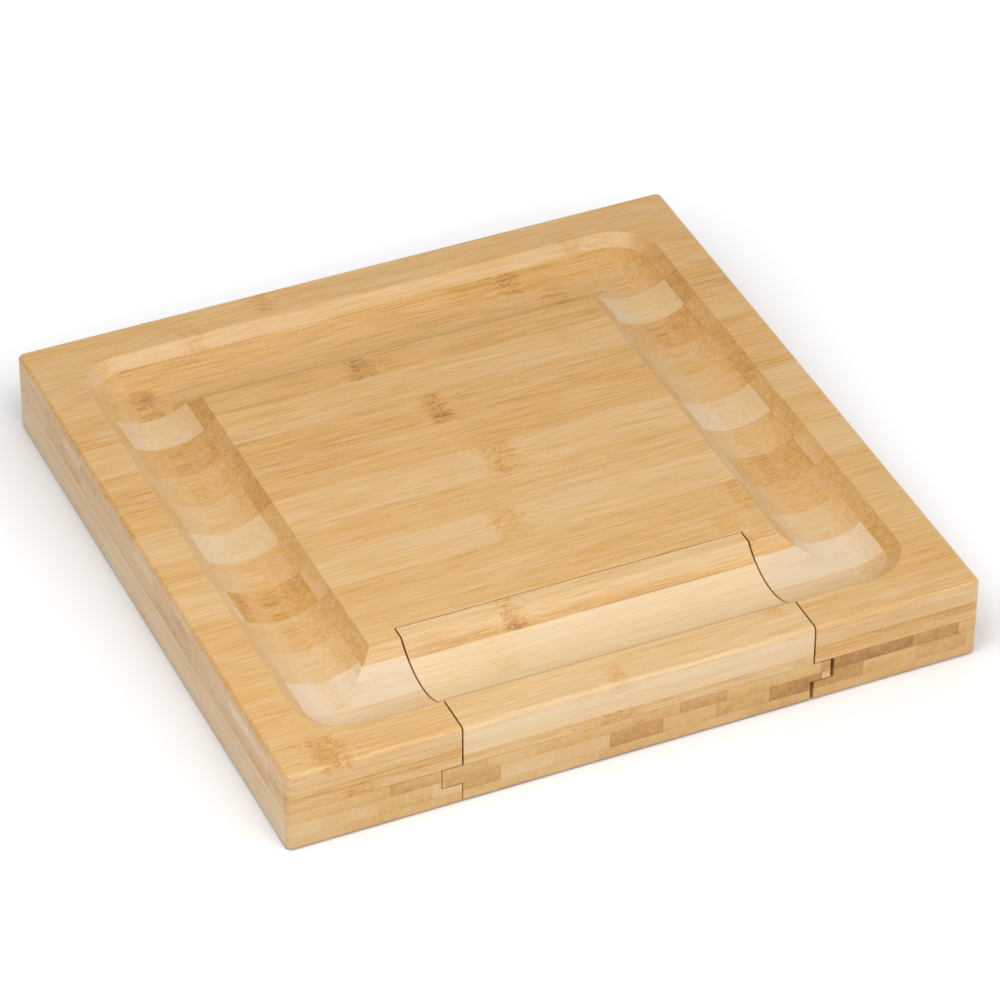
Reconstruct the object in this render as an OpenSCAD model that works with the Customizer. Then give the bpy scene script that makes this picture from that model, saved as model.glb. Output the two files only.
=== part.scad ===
// Square bamboo serving board with a hidden drawer in its front edge.
// A thick slab with a ring of rounded wells is glued on two grooved rails and a back plug.
// The drawer is a plank with a tongue on each side, which runs in the rails' grooves, and a
// front block that completes the slab and its front well when the drawer is shut.
// Origin: centre of the underside. +X right, +Y to the back, +Z up. Millimetres.

/* [Board] */
// Width of the board, left to right
board_w = 305; // [280:1:360]
// Depth of the board, front to back
board_d = 305; // [300:1:360]
// Height of the whole board
board_h = 38; // [35:0.5:50]
// Thickness of the slab that carries the wells
slab_h = 18.8; // [15:0.1:22]
// Radius of the upright corners, seen from above
corner_r = 3; // [2.5:0.5:8]
// Radius of the rounded top and bottom edges
edge_r = 2; // [1:0.1:2.4]

/* [Wells] */
// Width of the flat rim outside the wells
rim_w = 18.6; // [14:0.1:24]
// Width of a well at the top face
well_w = 42.8; // [30:0.1:46]
// Depth of a well at its middle
well_depth = 9.7; // [5:0.1:12]

/* [Drawer front] */
// Width of the front block
front_w = 154.5; // [152:0.5:180]
// Depth of the front block, front to back
front_d = 68; // [64:0.5:73]

/* [Drawer tray] */
// Length of the tray plank, front to back
tray_l = 257; // [253:1:262]
// Width of the tongue on each side of the plank
tongue_w = 8.9; // [6:0.1:12]
// Height of the rail ledge that carries the tongue
ledge_h = 9.5; // [8:0.1:11]
// Height of the tray's underside above the table
tray_lift = 0.5; // [0.3:0.1:1.5]
// How far the tray stands off the middle of its slot, to the right
tray_shift = -0.6; // [-0.6:0.1:0.6]
// How far the drawer pulls out
drawer_travel = 170; // [150:1:172]

/* [Tool slots] */
// Number of tool slots
slot_count = 4; // [2:1:4]
// Length of a tool slot
slot_l = 160; // [140:1:162]
// Width of the handle end of a slot
handle_w = 20; // [19:0.5:24]
// Length of the handle end of a slot
handle_l = 92; // [75:1:105]
// Width of the blade end of a slot
blade_w = 30; // [27:0.5:31]
// Thickness of the rib between two slots
rib_w = 6.5; // [4:0.5:7]
// Radius of the slot corners
slot_r = 6; // [4:0.5:8]
// Depth of a slot
slot_depth = 13; // [8:0.1:14]
// Wood between the front block and the slots
slot_margin = 8.5; // [5:0.5:10]
// Radius of the finger scoop across the ribs
scoop_r = 17; // [14:0.5:24]
// Depth of the finger scoop
scoop_depth = 9; // [5:0.5:10]
// Distance from the slots' front ends to the middle of the scoop
scoop_at = 62; // [45:1:68]

/* [Stop and catch] */
// Diameter of the stop dowel
dowel_d = 6; // [4:0.5:7]
// Height that the stop dowel stands above the tray
dowel_rise = 4.4; // [3:0.1:4.5]
// Distance from the tray's back end to the dowel
dowel_inset = 8; // [7:0.5:10]
// Diameter of a catch magnet
magnet_d = 10; // [6:0.5:12]
// Thickness of a catch magnet
magnet_t = 3; // [2:0.1:4]
// Distance between the two catch magnets
magnet_spacing = 100; // [70:1:125]

/* [Fits] */
// Gap round the front block
front_gap = 0.4; // [0.3:0.05:0.6]
// Sideways play of the tray on each side of its slot
side_play = 0.9; // [0.9:0.05:1.2]
// Gap between the tray's top and the slab
top_gap = 0.4; // [0.2:0.05:0.6]
// Running gap between a tongue and its ledge
ledge_gap = 0.15; // [0.1:0.05:0.3]
// Gap behind the tray when the drawer is shut
back_gap = 0.5; // [0.4:0.05:0.8]
// Gap round the stop dowel in the slab's groove
groove_gap = 0.5; // [0.3:0.05:0.8]
// Glue gap round the dowel and the magnets
glue_gap = 0.05; // [0.02:0.01:0.1]

/* [Hidden] */
$fn = 96;
well_fn = 180;                             // facets round a well's wide circle
cut = 1;                                   // how far a cutter runs past the face that it opens
base_h = board_h - slab_h;                 // height of the rails
front_y = -board_d / 2;                    // front face of the board

well_r = (pow(well_w / 2, 2) + pow(well_depth, 2)) / (2 * well_depth);
well_axis_z = board_h - well_depth + well_r;
well_x = board_w / 2 - rim_w - well_w / 2; // middle line of the left and right wells
well_y = board_d / 2 - rim_w - well_w / 2; // middle line of the front and back wells

slot_half = front_w / 2 + front_gap;       // half the notch in the slab, and the ledges' tips
groove_half = slot_half + tongue_w;        // the far walls of the rails' grooves
block_back_y = front_y + front_d;          // back face of the front block

tray_half = slot_half - side_play;
tray_top = base_h - top_gap;
tongue_z = ledge_h + ledge_gap;
tray_back_y = front_y + tray_l;
plug_front_y = tray_back_y + back_gap;

tool_y = block_back_y + slot_margin;       // front ends of the tool slots
tool_pitch = blade_w + rib_w;
tool_floor = tray_top - slot_depth;
scoop_y = tool_y + scoop_at;

dowel_y = tray_back_y - dowel_inset;
dowel_groove_w = dowel_d + 2 * groove_gap;
dowel_groove_h = dowel_rise - top_gap + groove_gap;
magnet_z = (tray_lift + tray_top) / 2;

top_bamboo = "burlywood";
base_bamboo = "tan";
drawer_bamboo = "wheat";
nickel = "silver";

// A box from its lowest corner to its highest corner.
module span(low, high) {
    translate(low)
        cube(high - low);
}

// Rectangle about the origin with round corners.
module rounded_rect(w, d, r) {
    square([w - 2 * r, d], center = true);
    square([w, d - 2 * r], center = true);
    for (x = [-1, 1], y = [-1, 1])
        translate([x * (w / 2 - r), y * (d / 2 - r)])
            circle(r);
}

// Section of the wood that rounding an edge takes off, beyond a quarter circle about the origin.
module edge_waste() {
    difference() {
        square(edge_r + cut);
        circle(edge_r);
    }
}

// The waste along one top edge of length l that runs along Y, with the rounding's middle at x = 0.
module side_waste(l) {
    translate([0, l / 2, 0])
        rotate([90, 0, 0])
            linear_extrude(l)
                edge_waste();
}

// The waste all round the board's top edge, with the rounding's middle at z = 0.
module rim_waste() {
    for (side = [0, 1, 2, 3]) {
        across = side % 2 == 0 ? board_w : board_d;
        along = side % 2 == 0 ? board_d : board_w;
        rotate([0, 0, 90 * side]) {
            translate([across / 2 - edge_r, 0, 0])
                side_waste(along - 2 * corner_r);
            translate([across / 2 - corner_r, along / 2 - corner_r, 0])
                rotate_extrude(angle = 90)
                    translate([corner_r - edge_r, 0])
                        edge_waste();
        }
    }
}

// The whole board as one block with rounded edges. Every outer piece is cut from it,
// as the real board is shaped after it is glued up.
module blank() {
    difference() {
        linear_extrude(board_h)
            rounded_rect(board_w, board_d, corner_r);
        translate([0, 0, board_h - edge_r])
            rim_waste();
        translate([0, 0, edge_r])
            mirror([0, 0, 1])
                rim_waste();
    }
}

// The ring of wells, as a round cutter led along a square and turned about each corner.
module well_ring() {
    for (side = [-1, 1]) {
        translate([side * well_x, well_y, well_axis_z])
            rotate([90, 0, 0])
                cylinder(h = 2 * well_y, r = well_r, $fn = well_fn);
        translate([-well_x, side * well_y, well_axis_z])
            rotate([0, 90, 0])
                cylinder(h = 2 * well_x, r = well_r, $fn = well_fn);
    }
    for (x = [-well_x, well_x], y = [-well_y, well_y])
        translate([x, y, well_axis_z])
            rotate([0, 0, atan2(sign(y), sign(x)) - 45])
                rotate_extrude(angle = 90, $fn = well_fn)
                    intersection() {
                        circle(well_r);
                        translate([0, -well_r - cut])
                            square([well_r + cut, 2 * (well_r + cut)]);
                    }
}

// The drawer's slot between two depths: wide where the tongues run, narrow between the ledges.
module drawer_slot(near_y, far_y) {
    span([-slot_half, near_y, -cut], [slot_half, far_y, base_h]);
    span([-groove_half, near_y, ledge_h], [groove_half, far_y, base_h]);
}

// The slab with its ring of wells, the notch for the front block and the stop dowel's groove.
module top_board() {
    color(top_bamboo)
        difference() {
            intersection() {
                blank();
                span([-board_w, -board_d, base_h], [board_w, board_d, board_h + cut]);
            }
            well_ring();
            span([-slot_half, front_y - cut, base_h - cut],
                 [slot_half, block_back_y + front_gap, board_h + cut]);
            dowel_groove();
        }
}

// The groove under the slab in which the stop dowel travels. Its front end stops the drawer.
module dowel_groove() {
    translate([tray_shift, 0, base_h - cut])
        linear_extrude(dowel_groove_h + cut) {
            translate([-dowel_groove_w / 2, dowel_y - drawer_travel])
                square([dowel_groove_w, drawer_travel]);
            for (y = [dowel_y - drawer_travel, dowel_y])
                translate([0, y])
                    circle(d = dowel_groove_w);
        }
}

// A side rail of the base, whose groove carries a tongue of the tray. side is -1 left, 1 right.
module rail(side) {
    color(base_bamboo)
        difference() {
            intersection() {
                blank();
                span([side < 0 ? -board_w : 0, -board_d, -cut], [side < 0 ? 0 : board_w, board_d, base_h]);
            }
            drawer_slot(-board_d, board_d);
        }
}

module left_rail() {
    rail(-1);
}

module right_rail() {
    rail(1);
}

// The plug glued into the back end of the slot, between the rails.
module back_plug() {
    color(base_bamboo)
        difference() {
            intersection() {
                blank();
                drawer_slot(plug_front_y, board_d);
            }
            for (side = [-1, 1])
                magnet_hole(side, plug_front_y, 1);
        }
}

// A blind hole for a catch magnet in the face at y, which runs in along +Y (way 1) or -Y (way -1).
module magnet_hole(side, y, way) {
    translate([tray_shift + side * magnet_spacing / 2, y - way * cut, magnet_z])
        rotate([-90 * way, 0, 0])
            cylinder(h = magnet_t + glue_gap + cut, d = magnet_d + 2 * glue_gap);
}

// A catch magnet, flush with the face at y.
module magnet(side, y, way) {
    color(nickel)
        translate([tray_shift + side * magnet_spacing / 2, y, magnet_z])
            rotate([-90 * way, 0, 0])
                cylinder(h = magnet_t, d = magnet_d);
}

module left_plug_magnet() {
    magnet(-1, plug_front_y, 1);
}

module right_plug_magnet() {
    magnet(1, plug_front_y, 1);
}

module left_tray_magnet() {
    magnet(-1, tray_back_y, -1);
}

module right_tray_magnet() {
    magnet(1, tray_back_y, -1);
}

// Outline of one tool slot from the origin along +Y: a handle end, then a wider blade end.
module tool_outline() {
    neck = handle_l + 2 * slot_r;          // its round end lies inside the blade end
    blade_l = slot_l - handle_l;
    translate([0, neck / 2])
        rounded_rect(handle_w, neck, slot_r);
    translate([0, handle_l + blade_l / 2])
        rounded_rect(blade_w, blade_l, slot_r);
}

// The tool slots, and the scoop across their ribs that lets a finger under a tool.
module tool_slots() {
    for (i = [0 : slot_count - 1])
        translate([(i - (slot_count - 1) / 2) * tool_pitch, tool_y, tool_floor])
            linear_extrude(slot_depth + cut)
                tool_outline();
    scoop_w = (slot_count - 1) * tool_pitch + handle_w;
    translate([-scoop_w / 2, scoop_y, tray_top - scoop_depth + scoop_r])
        rotate([0, 90, 0])
            cylinder(h = scoop_w, r = scoop_r);
}

// The plank of the drawer: a tongue on each side, tool slots on top, bare under the front block.
module drawer_tray() {
    color(base_bamboo)
        difference() {
            intersection() {
                blank();
                translate([tray_shift, 0, 0]) {
                    span([-tray_half, -board_d, tray_lift], [tray_half, tray_back_y, tray_top]);
                    span([-tray_half - tongue_w, -board_d, tongue_z],
                         [tray_half + tongue_w, tray_back_y, tray_top]);
                }
            }
            translate([tray_shift, 0, 0])
                tool_slots();
            translate([tray_shift, dowel_y, -cut])
                cylinder(h = board_h, d = dowel_d + 2 * glue_gap);
            for (side = [-1, 1])
                magnet_hole(side, tray_back_y, -1);
        }
}

// The front block, glued on the tray, which completes the slab's front edge and front well.
module drawer_front() {
    color(drawer_bamboo)
        difference() {
            intersection() {
                blank();
                span([-front_w / 2, -board_d, tray_top], [front_w / 2, block_back_y, board_h + cut]);
            }
            well_ring();
        }
}

// The dowel through the back of the tray, which stops the drawer from coming right out.
module stop_dowel() {
    color(drawer_bamboo)
        translate([tray_shift, dowel_y, tray_lift])
            cylinder(h = tray_top - tray_lift + dowel_rise, d = dowel_d);
}

top_board();
left_rail();
right_rail();
back_plug();
drawer_tray();
drawer_front();
stop_dowel();
left_plug_magnet();
right_plug_magnet();
left_tray_magnet();
right_tray_magnet();
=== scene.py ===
import bmesh
import bpy
import math
import random
from mathutils import Matrix, Vector


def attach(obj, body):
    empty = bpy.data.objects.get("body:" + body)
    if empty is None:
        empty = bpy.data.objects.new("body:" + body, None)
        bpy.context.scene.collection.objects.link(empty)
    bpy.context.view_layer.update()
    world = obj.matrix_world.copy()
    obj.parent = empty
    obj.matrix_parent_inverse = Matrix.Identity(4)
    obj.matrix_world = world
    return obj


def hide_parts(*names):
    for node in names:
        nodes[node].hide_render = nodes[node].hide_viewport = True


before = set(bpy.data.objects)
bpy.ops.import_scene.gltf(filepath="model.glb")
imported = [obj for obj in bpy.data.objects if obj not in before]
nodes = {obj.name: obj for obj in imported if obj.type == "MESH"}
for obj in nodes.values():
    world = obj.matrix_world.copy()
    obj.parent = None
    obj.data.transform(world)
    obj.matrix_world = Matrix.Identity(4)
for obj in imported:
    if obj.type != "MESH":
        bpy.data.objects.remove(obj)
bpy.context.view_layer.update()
print("board: the frame is loaded")

cameraSet = {
    "place": (-0.71165, -1.59966, 1.37556),  # metres, in front of the board and to its left
    "turn": 24.18,  # degrees to the right of straight back
    "down": 37.77,
    "roll": 0.23,
    "lens": 190.06,  # mm
    "sensor": 36,  # mm
    "farthest": 100,  # metres
}

studioSet = {
    "floorSize": 9.0,  # metres
    "floorDrop": 0.0002,  # below the board
    # painted shadow: the floor's colour is darker at the board and lighter away from it
    "floorShadowColours": [(0.0, (0.86, 0.865, 0.88)), (0.35, (0.88, 0.885, 0.90)), (1.0, (0.98, 0.98, 0.985))],
    "floorRoughness": 0.9,
    "floorShine": 0.1,
    "floorGlow": 0.24,  # its own light away from the board, for a white background
    "glowStops": [(0.08, (0, 0, 0)), (0.8, (1, 1, 1))],
    "boardHalf": 0.1525,  # metres from the middle to the board's sides
    "floorSpread": 0.14,  # from there to where the floor's painted shadow ends and it is lightest
    "floorCorner": 0.15,  # rounds the corners of that change
    # the room's brightness: everywhere, and more behind, in front and overhead
    "room": 0.18, "behind": 0.36, "before": 0.3, "overhead": 0.48,
    # lamps: turn from the front to the right and height over the floor in degrees, distance and width in
    # metres, watts, colour
    "lamps": [
        {"name": "frontBox", "turn": 22, "rise": 46, "far": 1.9, "width": 1.7, "watts": 13.8,
         "colour": (1.0, 0.995, 0.985)},
        {"name": "leftBox", "turn": -45, "rise": 64, "far": 0.8, "width": 0.5, "watts": 3.0,
         "colour": (1.0, 0.995, 0.985)},
    ],
}


def addCamera(look):
    # forward, right and up from turn and down, then rolled about forward
    turn, down, roll = (math.radians(look[k]) for k in ("turn", "down", "roll"))
    ahead = (math.sin(turn) * math.cos(down), math.cos(turn) * math.cos(down), -math.sin(down))
    right = (math.cos(turn), -math.sin(turn), 0)
    up = (math.sin(turn) * math.sin(down), math.cos(turn) * math.sin(down), math.cos(down))
    side = [math.cos(roll) * a + math.sin(roll) * b for a, b in zip(right, up)]
    top = [math.cos(roll) * b - math.sin(roll) * a for a, b in zip(right, up)]
    camera = bpy.data.objects.new("camera", bpy.data.cameras.new("camera"))
    camera.data.lens = look["lens"]
    camera.data.sensor_width = look["sensor"]
    camera.data.clip_end = look["farthest"]
    axes = Matrix([side, top, [-a for a in ahead]]).transposed().to_4x4()
    camera.matrix_world = Matrix.Translation(look["place"]) @ axes
    bpy.context.collection.objects.link(camera)
    bpy.context.scene.camera = camera


def addLamp(look):
    # a disc on a sphere round the board, facing its middle
    turn, rise = math.radians(look["turn"]), math.radians(look["rise"])
    way = Vector((math.sin(turn) * math.cos(rise), -math.cos(turn) * math.cos(rise), math.sin(rise)))
    lamp = bpy.data.objects.new(look["name"], bpy.data.lights.new(look["name"], "AREA"))
    lamp.data.shape = "DISK"
    lamp.data.size = look["width"]
    lamp.data.energy = look["watts"]
    lamp.data.color = look["colour"]
    lamp.matrix_world = (Matrix.Translation(way * look["far"])
                         @ (-way).to_track_quat("-Z", "Y").to_matrix().to_4x4())
    bpy.context.collection.objects.link(lamp)


addCamera(cameraSet)
for lampSet in studioSet["lamps"]:
    addLamp(lampSet)
bpy.context.scene.view_settings.view_transform = "Standard"


class Wire:
    # one output of a node, so that a sum on it adds the Math nodes that work it out
    def __init__(self, tree, socket=None):
        self.tree = tree
        self.socket = socket

    def make(self, kind, settings=None, inputs=None, output=0):
        # a new node, with its settings first and then the values or wires of its sockets
        node = self.tree.nodes.new(kind)
        for name, value in (settings or {}).items():
            if name == "stops":
                marks = node.color_ramp.elements
                while len(marks) < len(value):
                    marks.new(1.0)
                for mark, (place, colour) in zip(marks, value):
                    mark.position = place
                    mark.color = (*colour, 1)
            elif name == "steps":
                node.color_ramp.interpolation = value
            else:
                setattr(node, name, value)
        for name, value in (inputs or {}).items():
            if isinstance(value, Wire):
                self.tree.links.new(value.socket, node.inputs[name])
            else:
                node.inputs[name].default_value = value
        return Wire(self.tree, node.outputs[output]) if len(node.outputs) else None

    def maths(self, operation, *values):
        return self.make("ShaderNodeMath", {"operation": operation}, dict(enumerate(values)))

    def __add__(self, other):
        return self.maths("ADD", self, other)

    def __sub__(self, other):
        return self.maths("SUBTRACT", self, other)

    def __mul__(self, other):
        return self.maths("MULTIPLY", self, other)

    def __truediv__(self, other):
        return self.maths("DIVIDE", self, other)

    def __rsub__(self, other):
        return self.maths("SUBTRACT", other, self)

    def __rtruediv__(self, other):
        return self.maths("DIVIDE", other, self)

    def __lt__(self, other):
        return self.maths("LESS_THAN", self, other)

    def __gt__(self, other):
        return self.maths("GREATER_THAN", self, other)

    def __abs__(self):
        return self.maths("ABSOLUTE", self)

    __radd__ = __add__
    __rmul__ = __mul__

    def smooth(self, low, high):
        # 0 below low, 1 above high, a soft step between
        return self.make("ShaderNodeMapRange", {"interpolation_type": "SMOOTHSTEP"},
                         {0: self, 1: low, 2: high, 3: 0.0, 4: 1.0})

    def clip(self):
        return self.make("ShaderNodeClamp", {}, {0: self})

    def ramp(self, steps, stops):
        return self.make("ShaderNodeValToRGB", {"steps": steps, "stops": stops}, {0: self})

    def pick(self, here, there, mask):
        # a colour: here where mask is 0, there where it is 1
        return self.make("ShaderNodeMix", {"data_type": "RGBA"}, {0: mask, 6: here, 7: there}, 2)

    def place(self, x, y, z):
        return self.make("ShaderNodeCombineXYZ", {}, {0: x, 1: y, 2: z})

    def grain(self, spot, scale, detail=2.0, rough=0.5, twist=0.0):
        return self.make("ShaderNodeTexNoise", {},
                         {"Vector": spot, "Scale": scale, "Detail": detail, "Roughness": rough,
                          "Distortion": twist})

    def parts(self, kind="ShaderNodeSeparateXYZ"):
        node = self.make(kind, {}, {0: self}).socket.node
        return [Wire(self.tree, output) for output in node.outputs]

    def channels(self):
        # a colour's red, green and blue
        return self.parts("ShaderNodeSeparateColor")

    def spot(self):
        # where a point is on its own object, in mm
        metres = self.make("ShaderNodeTexCoord", output=3)
        return self.make("ShaderNodeVectorMath", {"operation": "SCALE"}, {0: metres, "Scale": 1000})


def startMaterial(name):
    material = bpy.data.materials.new(name)
    material.use_nodes = True
    material.node_tree.nodes.clear()
    return material, Wire(material.node_tree)


def endMaterial(wire, values):
    shader = wire.make("ShaderNodeBsdfPrincipled", {}, values)
    wire.make("ShaderNodeOutputMaterial", {}, {"Surface": shader})


def addFloor(look):
    half, low = look["floorSize"] / 2, -look["floorDrop"]
    mesh = bpy.data.meshes.new("floor")
    mesh.from_pydata([(-half, -half, low), (half, -half, low), (half, half, low), (-half, half, low)], [],
                     [(0, 1, 2, 3)])
    floor = bpy.data.objects.new("floor", mesh)
    bpy.context.collection.objects.link(floor)
    material, wire = startMaterial("paleFloor")
    x, y = wire.make("ShaderNodeTexCoord", output=3).parts()[:2]
    reach = wire.maths("SMOOTH_MAX", abs(x), abs(y), look["floorCorner"])
    # painted shadow round the board: near it the floor is darker and glows less
    outOfShadow = ((reach - look["boardHalf"]) / look["floorSpread"]).smooth(0.0, 1.0)
    endMaterial(wire, {"Base Color": outOfShadow.ramp("LINEAR", look["floorShadowColours"]),
                       "Roughness": look["floorRoughness"], "Specular IOR Level": look["floorShine"],
                       "Emission Color": outOfShadow.ramp("LINEAR", look["glowStops"]),
                       "Emission Strength": look["floorGlow"]})
    mesh.materials.append(material)


def addRoom(look):
    world = bpy.data.worlds.new("room")
    world.use_nodes = True
    world.node_tree.nodes.clear()
    wire = Wire(world.node_tree)
    y, z = wire.make("ShaderNodeTexCoord", output=0).parts()[1:]
    power = look["room"] + wire.maths("MAXIMUM", y, 0) * look["behind"]
    power = power + wire.maths("MAXIMUM", y * -1, 0) * look["before"]
    power = power + z * z * look["overhead"]
    light = wire.make("ShaderNodeBackground", {}, {0: (1, 1, 1, 1), 1: power})
    wire.make("ShaderNodeOutputWorld", {}, {"Surface": light})
    bpy.context.scene.world = world


addFloor(studioSet)
addRoom(studioSet)
print("board: camera, floor and light are set")

# All lengths in the bamboo's values are mm. A block is glued up in plies, from the top down, and each ply
# from strips side by side. Strip 0 begins at "start", and strips are "pitch" wide. A strip has a shade at its
# upper face, a lean, by which it darkens down to its lower face, and knuckles: (place along it, half length,
# strength). What isn't given is drawn from "usual" and from the seed.

stripNumbers = range(-8, 8)
knuckleSpan = 800  # places along a strip run from minus to plus half of this
knuckleLongest = 20
noKnuckle = (390, 5, 0)

shadeOf = {
    "cream": 0.02, "ivory": 0.16, "pale": 0.28, "light": 0.38, "honey": 0.46, "tan": 0.54, "russet": 0.62,
    "brown": 0.7, "umber": 0.8, "dark": 0.93,
}

bambooSet = {
    # streaks and mottling on faces along the grain
    "broad": 0.24,  # streaks 3 mm wide
    "fine": 0.58,  # streaks 1 mm wide
    "thread": 0.58,  # streaks half a millimetre wide
    "shadow": 0.17,  # how far both of these darken the wood without warming it
    "hair": 0.10,  # single dark fibres
    "hairFrom": (0.56, 0.70),
    "cloud": 0.18,  # slow change of shade along a strip
    "fleck": 0.34,  # even mottling
    "lively": (0.38, 1.4),  # strength of all these in the palest wood, and how it grows with the shade
    "tint": (0.9, 0.2),  # least saturation, and how far it varies
    "apart": 700,  # how far along the patterns a strip may start, so that no two are alike
    "sway": 4,  # how far the fibres wander
    "flankShade": 0.0,  # painted light and shade: upright faces along the grain are this much darker, and lighter where it is below 0
    # sawn ends
    "sawnFrom": (0.0005, 0.015),  # how far a face is turned across the grain, squared, to count as sawn
    "sawn": 0.02,  # how much darker they are
    "sawnStreaks": 0.1,  # share of the streaks that still shows
    "cut": 0.62,  # mottling
    "blotch": 0.5,  # blotches in dark ones
    "bundle": 0.16,  # fibre ends
    "bundleFrom": (0.15, 0.55),
    "bundleMean": 0.35,
    "bundleSqueeze": 0.8,
    "bundleScale": 1.1,
    "layer": 0.16,  # level bands
    "endShade": 0.08,  # sloping ones are this much darker
    "paintedSideShade": 0.26,  # painted light and shade: sloping sawn faces that look left are this much darker, and those that look right this much lighter
    "sawnWallShade": 0.13,  # painted shade: upright sawn faces, such as the slab's sides, are this much darker
    "notch": 0.45,  # and far more inside the drawer's notch, painted shade in the gaps round the drawer front
    "notchHalf": 79,
    # glue lines, in broken lengths
    "joint": 0.06,  # between strips
    "jointEdge": (0.08, 0.3),
    "jointBreaks": 0.7,
    "bed": 0.05,  # between plies
    "bedEdge": (0.1, 0.4),
    "bedBreaks": 0.9,
    "breakSqueeze": 0.03,
    "plyThick": 5,
    # knuckles
    "knuckle": 0.2,
    "stroke": 0.85,  # dark strokes in them
    "patch": 0.35,  # and patches
    "ragged": 9,  # how far their edges wander
    "bandEdge": (0.4, 1.35),  # where they fade out, in their own half lengths
    "swirlEdge": (0.4, 3.4),  # and where the fibres stop bending round them
    "bend": 8,  # how far those bend to the side
    "bendDown": 5,
    # finish
    "roughness": 0.34,
    "roughFine": 0.2,
    "roughFleck": 0.15,
    "bump": 0.4,
    "bumpHeight": 0.00015,  # metres
    "relief": {"fine": 0.5, "hair": 0.2, "stroke": 0.6, "joint": 0.2, "mottle": 0.6},
    "sheen": 0.05,
    "sheenRoughness": 0.5,
}

fibreNoise = {  # runs with the fibres: squeeze along them, scale, detail, roughness, distortion
    "broad": (0.04, 0.30, 2, 0.5, 0.0),
    "fine": (0.022, 0.95, 3, 0.7, 0.0),
    "thread": (0.03, 1.8, 2, 0.6, 0.0),
    "hair": (0.03, 2.3, 2, 0.5, 0.0),
    "stroke": (0.3, 1.0, 2, 0.6, 0.8),
    "tint": (0.03, 0.25, 2, 0.5, 0.0),
}

blockNoise = {  # lies straight in the block: squeeze along the strip, across it and down, scale, detail
    "ragged": (0.35, 1, 1, 0.28, 3),
    "sway": (0.015, 0.04, 0.04, 1.0, 1),
    "cloud": (0.5, 1.2, 3, 0.035, 2),
    "layer": (0.08, 0.08, 1, 0.4, 1),
}

evenNoise = {  # alike all ways: scale, detail, roughness
    "patch": (0.13, 1, 0.5),
    "bend": (0.19, 2, 0.5),
    "fleck": (1.1, 3, 0.8),
    "mottle": (0.5, 4, 0.8),
    "blotch": (0.2, 3, 0.6),
}

slabLook = {
    "grain": "x", "seed": 4, "floor": 19.2,
    "colours": [  # from the palest shade to the darkest
        (0.0, (0.668, 0.513, 0.343)), (0.25, (0.635, 0.429, 0.219)), (0.4, (0.619, 0.388, 0.165)),
        (0.5, (0.602, 0.358, 0.132)), (0.62, (0.571, 0.317, 0.095)), (0.75, (0.511, 0.259, 0.062)),
        (1.0, (0.320, 0.148, 0.040)),
    ],
    "plies": [
        {"top": 38.0, "start": 12.3, "pitch": 21.0, "usual": ("honey",), "loose": False,
         "shades": {-8: "honey", -7: "honey", -6: "honey", -5: "honey", -4: "honey", -3: "light",
                    -2: "honey", -1: "light", 0: "tan", 1: "tan", 2: "honey", 3: "tan", 4: "honey",
                    5: "honey", 6: "honey"},
         "leans": {5: -0.05, -8: -0.15},
         "knuckles": {3: [(-22, 6, 0.75)], 1: [(-3, 5, 0.95)], -1: [(8, 8, 1.0)], -3: [(-8, 7, 0.9)],
                      -4: [(88, 5, 0.6)], -5: [(74, 5, 0.5)], 6: [(-42, 5, 0.6)],
                      5: [(-79, 5, 0.7), (100, 5, 0.7)], -8: [(-131, 7, 1.0)]}},
        {"top": 33.2, "start": 12.3, "pitch": 21.0, "usual": ("honey", "tan"), "loose": False,
         "shades": {5: "russet", 4: "russet", 3: "pale", 2: "russet", 1: "honey", 0: "honey", -1: "ivory",
                    -2: "honey", -3: "russet", -4: "honey", -5: "light", -6: "cream", -7: "pale",
                    -8: "honey"},
         "knuckles": {5: [(66, 5, 0.7)], 4: [(83, 5, 0.4), (-112, 7, 0.9)], -6: [(-113, 5, 0.6)],
                      -7: [(121, 5, 0.7)], -3: [(-128, 6, 0.9)]}},
        {"top": 27.9, "start": 12.3, "pitch": 21.0, "usual": ("light", "honey", "tan"), "loose": True,
         "shades": {-8: "russet"}, "knuckles": {-8: []}},
        {"top": 24.0, "start": 12.3, "pitch": 21.0, "usual": ("light", "honey", "tan"), "loose": True,
         "shades": {-8: "honey"}, "knuckles": {-8: [(-121, 7, 0.9)]}},
    ],
}

drawerLook = {
    "grain": "x", "seed": 11, "floor": 18.8,
    "colours": [
        (0.0, (0.696, 0.534, 0.334)), (0.25, (0.672, 0.471, 0.250)), (0.5, (0.620, 0.390, 0.163)),
        (0.75, (0.530, 0.278, 0.075)), (1.0, (0.320, 0.148, 0.040)),
    ],
    "plies": [
        {"top": 38.0, "start": -98.5, "pitch": 21.0, "usual": ("light",), "loose": False,
         "shades": {-2: "honey"}, "leans": {-3: -0.45, -2: 0.15, -1: -0.2, 0: 0.3},
         "knuckles": {0: [(-30, 5, 1.0)], -2: [(66, 5, 0.5)], -3: [(-9, 5, 0.7)]}},
        {"top": 31.9, "start": -98.5, "pitch": 21.0, "usual": ("pale",), "loose": False,
         "shades": {0: "cream", -1: "cream", -2: "ivory", -3: "ivory"}, "leans": {-1: 0.1},
         "knuckles": {-1: [(-42, 8, 0.5)]}},
        {"top": 28.5, "start": -98.5, "pitch": 21.0, "usual": ("pale",), "loose": False,
         "shades": {-1: "ivory", -3: "ivory"}, "knuckles": {-1: [(-42, 8, 0.5)]}},
        {"top": 24.0, "start": -98.5, "pitch": 21.0, "usual": ("tan",), "loose": False,
         "knuckles": {-3: [(-9, 9, 1.0)]}},
    ],
}

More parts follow.
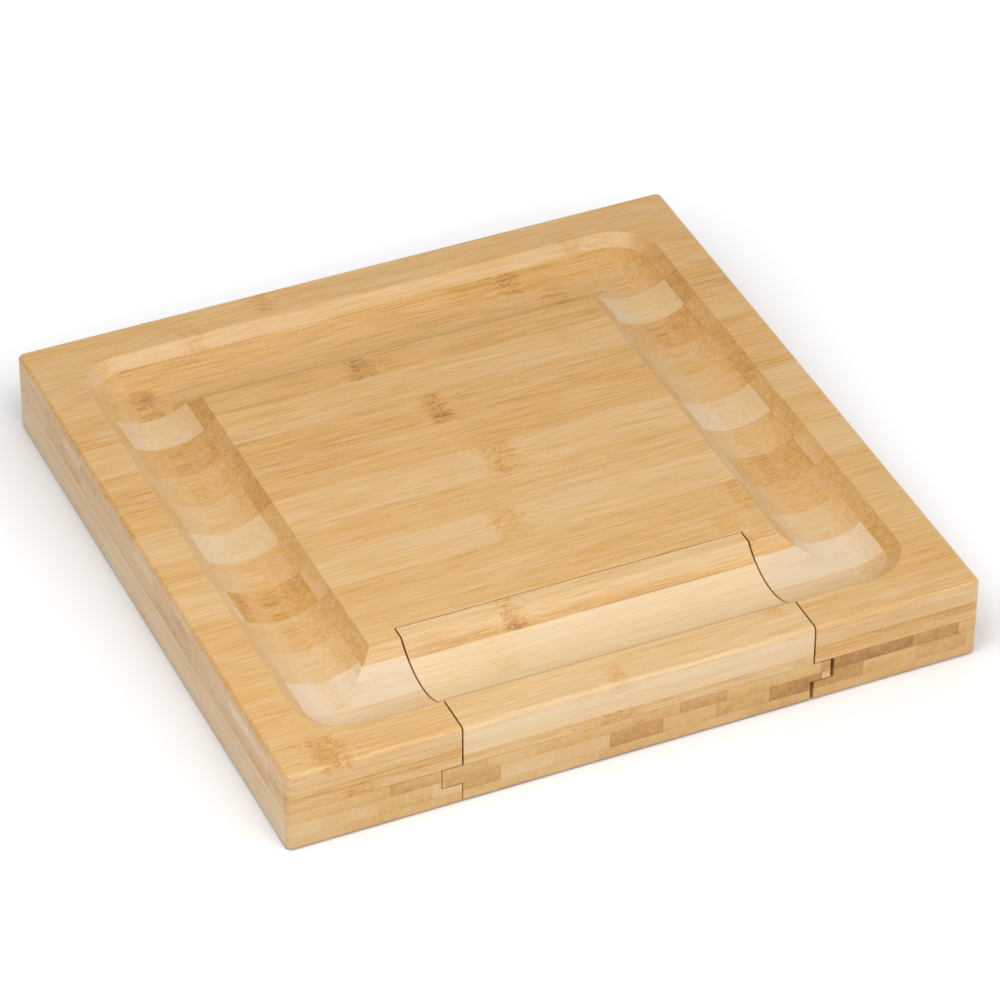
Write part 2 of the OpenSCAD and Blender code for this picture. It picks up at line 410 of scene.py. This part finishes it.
baseSet = {  # what the base's blocks share
    "grain": "y", "floor": 0.0, "endShade": 0.0, "paintedSideShade": 0.0, "sawnWallShade": 0.0, "notch": 0.0, "bed": 0.16,
    # painted light: the base's upright faces along the grain are lighter
    "layer": 0.12, "cut": 0.38, "bundle": 0.1, "sawn": -0.03, "flankShade": -0.18,
    "colours": [
        (0.0, (0.685, 0.518, 0.318)), (0.25, (0.650, 0.432, 0.205)), (0.5, (0.604, 0.364, 0.130)),
        (0.75, (0.480, 0.252, 0.068)), (1.0, (0.315, 0.138, 0.026)),
    ],
}

basePlies = [
    {"top": 19.2, "pitch": 21.0, "usual": ("honey", "tan", "russet"), "loose": True,
     "leans": {number: 0.12 for number in stripNumbers}},
    {"top": 13.4, "pitch": 23.7, "usual": ("honey", "tan"), "loose": True},
    {"top": 6.1, "pitch": 22.0, "usual": ("tan", "tan", "russet"), "loose": True},
]


def baseLook(seed, starts, shades):
    plies = [{**ply, "start": start, "shades": shade} for ply, start, shade in zip(basePlies, starts, shades)]
    return {**baseSet, "seed": seed, "plies": plies}


leftRailLook = baseLook(21, (-66.5, -90.5, -84.0), (
    {-1: "tan", -2: "brown", -3: "tan", -4: "honey", -5: "light"},
    {0: "light", -1: "tan", -2: "honey", -3: "light"},
    {-1: "tan", -2: "tan", -3: "honey", -4: "light"}))
rightRailLook = baseLook(22, (59.5, 100.0, 88.0), (
    {0: "brown", 1: "dark", 2: "dark", 3: "umber", 4: "tan"},
    {-1: "umber", 0: "tan", 1: "russet", 2: "honey"},
    {-1: "russet", 0: "russet", 1: "tan", 2: "tan"}))
trayLook = baseLook(23, (-66.5, 10.1, 4.0), (
    {-1: "russet", 0: "honey", 1: "tan", 2: "tan", 3: "tan", 4: "brown", 5: "tan", 6: "honey", 7: "brown"},
    {-4: "brown", -3: "light", -2: "honey", -1: "umber", 0: "tan", 1: "russet", 2: "dark", 3: "light"},
    {-4: "tan", -3: "honey", -2: "tan", -1: "tan", 0: "tan", 1: "tan", 2: "russet", 3: "russet"}))
plugLook = baseLook(24, (-60.0, -55.0, -50.0), ({}, {}, {}))


def chooseStrips(look):
    # what a look says of its strips, and a seeded draw for the rest, each packed as three values up to 1
    draw = random.Random(look["seed"])
    plies = []
    for ply in look["plies"]:
        strips = []
        for number in stripNumbers:
            word = ply.get("shades", {}).get(number, draw.choice(ply["usual"]))
            shade = shadeOf[word] + draw.uniform(-0.02, 0.02)
            lean = ply.get("leans", {}).get(number, draw.uniform(-0.1, 0.1))
            drawn = [(draw.uniform(-150, 150), draw.uniform(4, 7), draw.uniform(0.4, 0.9))]
            knuckles = ply.get("knuckles", {}).get(number, drawn if ply["loose"] else [])
            first, second = (((place + knuckleSpan / 2) / knuckleSpan, half / knuckleLongest, force)
                             for place, half, force in (knuckles + [noKnuckle, noKnuckle])[:2])
            strips.append({"body": (shade, lean + 0.5, draw.random()), "first": first, "second": second})
        plies.append(strips)
    return plies


def findStrip(wood, look, across, height):
    # the strip that a spot is in, from ramps with a step for each strip of a ply: its body, its two knuckles,
    # how far across it the spot is with its width, and how many plies down the spot is
    tops = [ply["top"] for ply in look["plies"]]
    floors = tops[1:] + [look["floor"]]
    found, depth = None, 0
    for ply, strips, top, floor in zip(look["plies"], chooseStrips(look), tops, floors):
        where = (across - ply["start"]) / ply["pitch"]
        number = wood.maths("FLOOR", where)
        row = (number + (0.5 - stripNumbers.start)) / len(stripNumbers)
        values = [row.ramp("CONSTANT", [(i / len(strips), strip[key]) for i, strip in enumerate(strips)])
                  for key in ("body", "first", "second")]
        values.append(wood.place((where - number) * ply["pitch"], ply["pitch"], 0.0))
        if found:
            below = height < top
            found = [wood.pick(a, b, below) for a, b in zip(found, values)]
        else:
            found = values
        depth = ((top - height) / (top - floor)).clip() + depth
    return *found, depth


def findKnuckle(wood, first, second, along):
    # the nearer of a strip's two knuckles: how far along the strip it is from here, its half length and force
    def past(centre):
        return along - (centre * knuckleSpan - knuckleSpan / 2)

    nearer = abs(past(second.channels()[0])) < abs(past(first.channels()[0]))
    centre, half, force = wood.pick(first, second, nearer).channels()
    return past(centre), half * knuckleLongest, force


def bambooMaterial(name, look):
    kind = {**bambooSet, **look}
    material, wood = startMaterial(name)
    spot = wood.spot().parts()
    facing = wood.make("ShaderNodeTexCoord", output=1).parts()
    run, side = (0, 1) if look["grain"] == "x" else (1, 0)
    along, across, height = spot[run], spot[side], spot[2]
    ends, upward = facing[run], facing[2]
    body, first, second, part, depth = findStrip(wood, look, across, height)
    shade, lean, seed = body.channels()
    fromSide, pitch = part.channels()[:2]
    level = wood.maths("FRACT", depth)
    shift = seed * kind["apart"]
    ownSpot = wood.place(along + shift, across + shift, height)

    def fibres(pattern, slip):
        squeeze, scale, detail, rough, twist = fibreNoise[pattern]
        return wood.grain(wood.place(along * squeeze + slip, line, deep), scale, detail, rough, twist)

    def straight(pattern, slipAlong, slipAcross):
        squeezeAlong, squeezeAcross, squeezeDown, scale, detail = blockNoise[pattern]
        place = wood.place(along * squeezeAlong + slipAlong, across * squeezeAcross + slipAcross,
                           height * squeezeDown)
        return wood.grain(place, scale, detail) - 0.5

    def even(pattern):
        return wood.grain(ownSpot, *evenNoise[pattern]) - 0.5

    # how far this spot is in a knuckle, and in the swirl round it
    past, half, force = findKnuckle(wood, first, second, along)
    far = abs(past + straight("ragged", shift, 0) * kind["ragged"]) / half
    band = (1 - far.smooth(*kind["bandEdge"])) * force
    swirl = (1 - far.smooth(*kind["swirlEdge"])) * force

    # fibres run along the strip, and bend round a knuckle
    bend = even("bend") * swirl
    line = across + shift + straight("sway", shift, 0) * kind["sway"] + bend * kind["bend"]
    deep = height + bend * kind["bendDown"]
    broad = fibres("broad", shift) - 0.5
    fine = fibres("fine", 0) - 0.5
    thread = fibres("thread", shift) - 0.5
    hair = fibres("hair", shift).smooth(*kind["hairFrom"])
    stroke = fibres("stroke", shift) - 0.5
    fleck, mottle = even("fleck"), even("mottle")
    streaks = broad * kind["broad"] + fine * kind["fine"] + thread * kind["thread"] + hair * kind["hair"]
    streaks = (streaks + fleck * kind["fleck"]) * (shade * kind["lively"][1] + kind["lively"][0])

    # sawn ends: mottled, with blotches, fibre ends and level bands
    cells = wood.make("ShaderNodeTexVoronoi", {}, {
        "Vector": wood.place(along * kind["bundleSqueeze"], line, deep), "Scale": kind["bundleScale"]})
    bundle = kind["bundleMean"] - cells.smooth(*kind["bundleFrom"])
    sawing = mottle * kind["cut"] + even("blotch") * shade * kind["blotch"]
    sawing = sawing + straight("layer", 0, shift) * kind["layer"] + bundle * kind["bundle"]

    # glue lines
    squeezed, squeezedAcross = along * kind["breakSqueeze"], across * kind["breakSqueeze"]
    edge = wood.maths("MINIMUM", fromSide, pitch - fromSide)
    breaks = wood.grain(wood.place(squeezed, shift, 0), kind["jointBreaks"], 1)
    joint = (1 - edge.smooth(*kind["jointEdge"])) * breaks
    plyEdge = wood.maths("MINIMUM", level, 1 - level) * kind["plyThick"]
    breaks = wood.grain(wood.place(squeezed, squeezedAcross, depth), kind["bedBreaks"], 1)
    bed = (1 - plyEdge.smooth(*kind["bedEdge"])) * breaks

    # which way the surface looks
    sawn = (ends * ends).smooth(*kind["sawnFrom"])
    turned = ends * upward
    wall = 1 - abs(upward)
    # painted shade on upright sawn faces, strongest inside the drawer's notch, in the gaps round the drawer
    # front
    paintedWallShade = (abs(along) < kind["notchHalf"]) * kind["notch"] + kind["sawnWallShade"]

    tone = shade + level * (lean - 0.5) + straight("cloud", shift, 0) * kind["cloud"]
    # painted light and shade: sloping sawn faces darker where they look left, lighter where they look right
    tone = tone + abs(turned) * kind["endShade"] - turned * kind["paintedSideShade"]
    # painted light: upright faces along the grain are lighter where their setting is below 0, as on the base
    tone = tone + ends * ends * wall * paintedWallShade + (1 - sawn) * wall * kind["flankShade"]
    tone = tone + streaks * (1 - sawn * (1 - kind["sawnStreaks"])) + sawing * sawn
    tone = tone + joint * kind["joint"] + bed * kind["bed"] + sawn * kind["sawn"]
    tone = (tone + band * (kind["knuckle"] + stroke * kind["stroke"] + even("patch") * kind["patch"])).clip()
    tint = fibres("tint", shift + 50)
    colour = wood.make("ShaderNodeHueSaturation", {}, {
        "Saturation": kind["tint"][0] + tint * kind["tint"][1], "Value": 1 - (fine + thread) * kind["shadow"],
        "Color": tone.ramp("LINEAR", look["colours"])})
    raised = kind["relief"]
    relief = fine * raised["fine"] - hair * raised["hair"] + band * stroke * raised["stroke"]
    relief = relief - joint * raised["joint"] + sawn * mottle * raised["mottle"]
    normal = wood.make("ShaderNodeBump", {}, {
        "Strength": kind["bump"], "Distance": kind["bumpHeight"], "Height": relief})
    rough = kind["roughness"] + fine * kind["roughFine"] + fleck * kind["roughFleck"]
    endMaterial(wood, {"Base Color": colour, "Roughness": rough, "Normal": normal,
                       "Sheen Weight": kind["sheen"], "Sheen Roughness": kind["sheenRoughness"]})
    return material


beechSet = {
    "pale": (0.74, 0.53, 0.32), "dark": (0.56, 0.35, 0.19), "roughness": 0.6, "bump": 0.3,
    "bumpHeight": 0.0001,  # metres
}
nickelSet = {
    "bright": (0.64, 0.62, 0.585), "dull": (0.50, 0.48, 0.45), "roughness": 0.26, "bump": 0.15,
    "bumpHeight": 0.00003,  # metres
}


def beechMaterial(look):
    # growth bands across the dowel, with short dark flecks along it
    material, wood = startMaterial("turnedBeech")
    x, y, z = wood.spot().parts()
    rings = wood.grain(wood.place(x * 0.5, y + z * 0.02, z * 0.03), 1.6, 2)
    flecks = wood.grain(wood.place(x * 4, y * 4, z * 0.7), 1.2, 1).smooth(0.62, 0.72)
    tone = (rings.smooth(0.3, 0.7) * 0.6 + flecks * 0.5).clip()
    normal = wood.make("ShaderNodeBump", {}, {
        "Strength": look["bump"], "Distance": look["bumpHeight"], "Height": tone})
    endMaterial(wood, {"Base Color": tone.ramp("LINEAR", [(0.0, look["pale"]), (1.0, look["dark"])]),
                       "Roughness": look["roughness"] + tone * 0.1, "Normal": normal})
    return material


def nickelMaterial(look):
    # plated, with faint scratches and duller clouds
    material, metal = startMaterial("platedNickel")
    spot = metal.spot()
    x, y, z = spot.parts()
    cloud = metal.grain(spot, 0.5, 3)
    scratch = metal.grain(metal.place(x * 0.4 + z, y * 6, z * 6 - x * 3), 2.0, 2).smooth(0.6, 0.75)
    dull = (cloud.smooth(0.35, 0.75) * 0.7 + scratch * 0.4).clip()
    normal = metal.make("ShaderNodeBump", {}, {
        "Strength": look["bump"], "Distance": look["bumpHeight"], "Height": scratch})
    endMaterial(metal, {"Base Color": dull.ramp("LINEAR", [(0.0, look["bright"]), (1.0, look["dull"])]),
                        "Metallic": 1.0, "Roughness": look["roughness"] + dull * 0.18, "Normal": normal})
    return material


edgeSet = {
    "merge": 1e-6,  # metres between corners that are one
    "near": 0.01,  # mm from a place that count as there
    "flat": 0.15,  # degrees between faces that are one
    "sharp": 28,  # degrees from which an edge is rounded
    "rounds": 3,  # faces across a rounded edge
    "weight": 60,  # how far large faces rule the shading
}


def easedCopy(node, piece, body, material, ease, slack=()):
    # the node's own faces merged into whole ones, with each sharp edge rounded by "ease", in mm
    # slack: (axis, place, shift) moves what lies at that place on the axis, in mm
    mesh = bpy.data.meshes.new(piece)
    work = bmesh.new()
    work.from_mesh(nodes[node].data)
    bmesh.ops.remove_doubles(work, verts=work.verts, dist=edgeSet["merge"])
    bmesh.ops.dissolve_limit(work, angle_limit=math.radians(edgeSet["flat"]), verts=work.verts,
                             edges=work.edges)
    for vert in work.verts:
        for axis, place, shift in slack:
            if abs(vert.co[axis] * 1000 - place) < edgeSet["near"]:
                vert.co[axis] += shift / 1000
    for face in work.faces:
        face.smooth = True
        face.material_index = 0
    work.to_mesh(mesh)
    work.free()
    mesh.materials.append(material)
    made = bpy.data.objects.new(piece, mesh)
    bpy.context.collection.objects.link(made)
    bevel = made.modifiers.new("easedEdges", "BEVEL")
    bevel.limit_method = "ANGLE"
    bevel.angle_limit = math.radians(edgeSet["sharp"])
    bevel.width = ease / 1000
    bevel.segments = edgeSet["rounds"]
    bevel.use_clamp_overlap = False
    shading = made.modifiers.new("faceNormals", "WEIGHTED_NORMAL")
    shading.mode = "FACE_AREA_WITH_ANGLE"
    shading.weight = edgeSet["weight"]
    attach(made, body)
    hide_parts(node)


# the gaps under the tray's tongues and round the front block, a little wider as seen
slackSet = {
    "drawer_tray": [(2, 9.65, 0.25)],
    "drawer_front": [(0, -77.25, 0.15), (0, 77.25, -0.15), (1, -84.5, -0.12)],
}
pieceSet = [  # node, piece, body, slot, material, eased edge in mm
    ("top_board", "slab", "board", "top_bamboo", bambooMaterial("slabBamboo", slabLook), 0.35),
    ("left_rail", "leftRail", "board", "base_bamboo", bambooMaterial("leftRailBamboo", leftRailLook), 0.3),
    ("right_rail", "rightRail", "board", "base_bamboo", bambooMaterial("rightRailBamboo", rightRailLook),
     0.3),
    ("back_plug", "backPlug", "board", "base_bamboo", bambooMaterial("plugBamboo", plugLook), 0.15),
    ("drawer_tray", "drawerTray", "drawer", "base_bamboo", bambooMaterial("trayBamboo", trayLook), 0.3),
    ("drawer_front", "drawerFront", "drawer", "drawer_bamboo", bambooMaterial("drawerBamboo", drawerLook),
     0.3),
    ("stop_dowel", "stopDowel", "drawer", "dowel_wood", beechMaterial(beechSet), 0.25),
]
for nodeName, pieceName, bodyName, slotName, finish, ease in pieceSet:
    easedCopy(nodeName, pieceName, bodyName, finish, ease, slackSet.get(nodeName, ()))
print("board: the wooden pieces are made")

nickel = nickelMaterial(nickelSet)
for side in ("left", "right"):
    easedCopy(f"{side}_plug_magnet", f"{side}PlugMagnet", "board", nickel, 0.25)
    easedCopy(f"{side}_tray_magnet", f"{side}TrayMagnet", "drawer", nickel, 0.25)
print("board: the magnets are made")
